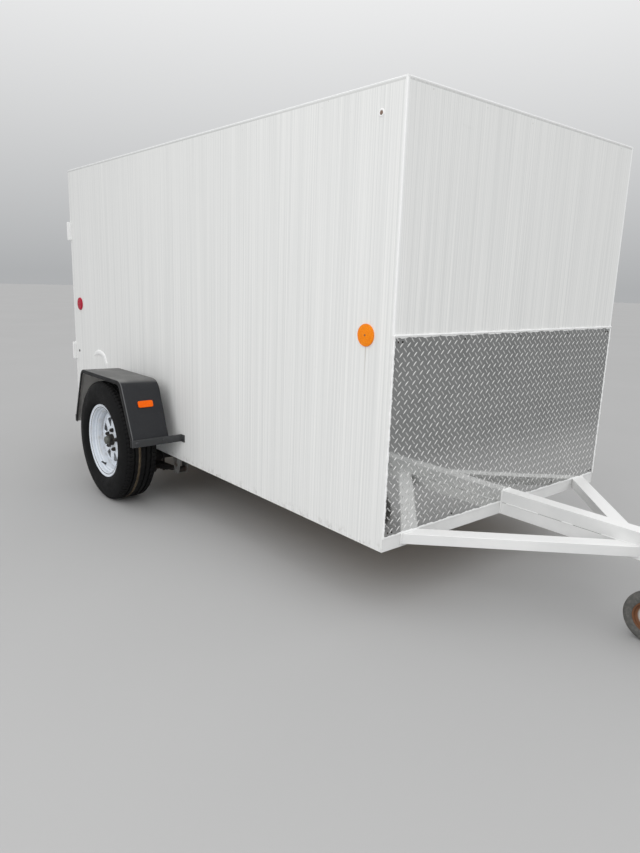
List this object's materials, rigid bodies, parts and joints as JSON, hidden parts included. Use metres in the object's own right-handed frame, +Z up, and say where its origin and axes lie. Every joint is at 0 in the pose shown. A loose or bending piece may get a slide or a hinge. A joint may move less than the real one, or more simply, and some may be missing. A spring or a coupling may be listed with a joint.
{
  "type": "enclosed box trailer",
  "caption": "Single-axle enclosed box trailer with rear doors, tread-plate front, A-frame tongue, ball coupler and swivel-wheel jack.",
  "frame": {"origin": "on the ground under the middle of the bounding box", "axes": "+X forward to the hitch, +Y to the trailer's left, +Z up"},
  "size_m": [4.287, 2.161, 1.9265],
  "materials": {
    "white_panel": "satin brushed-on white paint, combed in fine upright grooves",
    "white_frame": "satin white paint on steel tube",
    "tread_plate": "bright tread plate",
    "floor_ply": "plywood",
    "fender_grey": "satin dark grey paint",
    "wheel_white": "gloss white with road dust",
    "tyre": "moulded rubber",
    "hub_black": "greasy black",
    "axle_steel": "black paint gone to rust",
    "spring_steel": "rusty spring steel",
    "bracket_steel": "dark painted flat bar",
    "lens_amber": "ribbed amber lens",
    "lens_red": "ribbed red lens",
    "zinc": "zinc plate, dulled",
    "jack_rubber": "grey rubber",
    "jack_rust": "rusty pressed steel"
  },
  "bodies": {
    "chassis": {"axle": "axle_steel", "coupler": "zinc", "coupler_latch": "zinc", "crossmembers": "white_frame", "door_keepers": "zinc", "edge_trims": "white_frame", "fender_brackets": "bracket_steel", "fender_left": "fender_grey", "fender_reflectors_front": "lens_amber", "fender_reflectors_rear": "lens_red", "fender_right": "fender_grey", "floor": "floor_ply", "front_member": "white_frame", "hinge_leaves": "white_frame", "jack_bracket": "zinc", "jack_crank": "zinc", "jack_tube": "zinc", "rear_header": "white_frame", "rear_posts": "white_frame", "rear_sill": "white_frame", "reflectors_amber": "lens_amber", "reflectors_red": "lens_red", "roof": "white_panel", "side_rails": "white_frame", "spring_clamps": "spring_steel", "spring_hangers": "axle_steel", "spring_left": "spring_steel", "spring_right": "spring_steel", "spring_shackles": "spring_steel", "tail_lamps": "lens_red", "tongue_beam_lower": "white_frame", "tongue_beam_upper": "white_frame", "tongue_legs": "white_frame", "tread_plate": "tread_plate", "wall_front": "white_panel", "wall_left": "white_panel", "wall_right": "white_panel"},
    "door_right": {"door_right": "white_panel", "hinges_right": "white_frame", "lock_bar_right": "zinc"},
    "door_left": {"door_left": "white_panel", "hinges_left": "white_frame", "lock_bar_left": "zinc"},
    "jack_leg": {"jack_leg": "zinc"},
    "jack_caster": {"jack_fork": "zinc"},
    "jack_wheel": {"jack_wheel_rim": "jack_rust", "jack_wheel_tyre": "jack_rubber"},
    "wheel_right": {"tyre_right": "tyre", "rim_right": "wheel_white", "hub_right": "hub_black"},
    "wheel_left": {"tyre_left": "tyre", "rim_left": "wheel_white", "hub_left": "hub_black"}
  },
  "joints": [
    {"name": "wheel_right_spin", "type": "hinge", "parent": "chassis", "child": "wheel_right", "pos_m": [-0.96642, -0.98, 0.338], "axis": [0, 1, 0], "continuous": true},
    {"name": "wheel_left_spin", "type": "hinge", "parent": "chassis", "child": "wheel_left", "pos_m": [-0.96642, 0.98, 0.338], "axis": [0, 1, 0], "continuous": true},
    {"name": "door_right_swing", "type": "hinge", "parent": "chassis", "child": "door_right", "pos_m": [-2.1325, -0.761, 1.11], "axis": [0, 0, 1], "range_deg": [0, 220]},
    {"name": "door_left_swing", "type": "hinge", "parent": "chassis", "child": "door_left", "pos_m": [-2.1325, 0.761, 1.11], "axis": [0, 0, -1], "range_deg": [0, 220]},
    {"name": "jack_slide", "type": "slide", "parent": "chassis", "child": "jack_leg", "axis": [0, 0, 1], "range_m": [0, 0.05]},
    {"name": "jack_swivel", "type": "hinge", "parent": "jack_leg", "child": "jack_caster", "pos_m": [1.7435, -0.093, 0.204], "axis": [0, 0, 1], "continuous": true},
    {"name": "jack_wheel_spin", "type": "hinge", "parent": "jack_caster", "child": "jack_wheel", "pos_m": [1.6985, -0.093, 0.098], "axis": [0, 1, 0], "continuous": true}
  ]
}
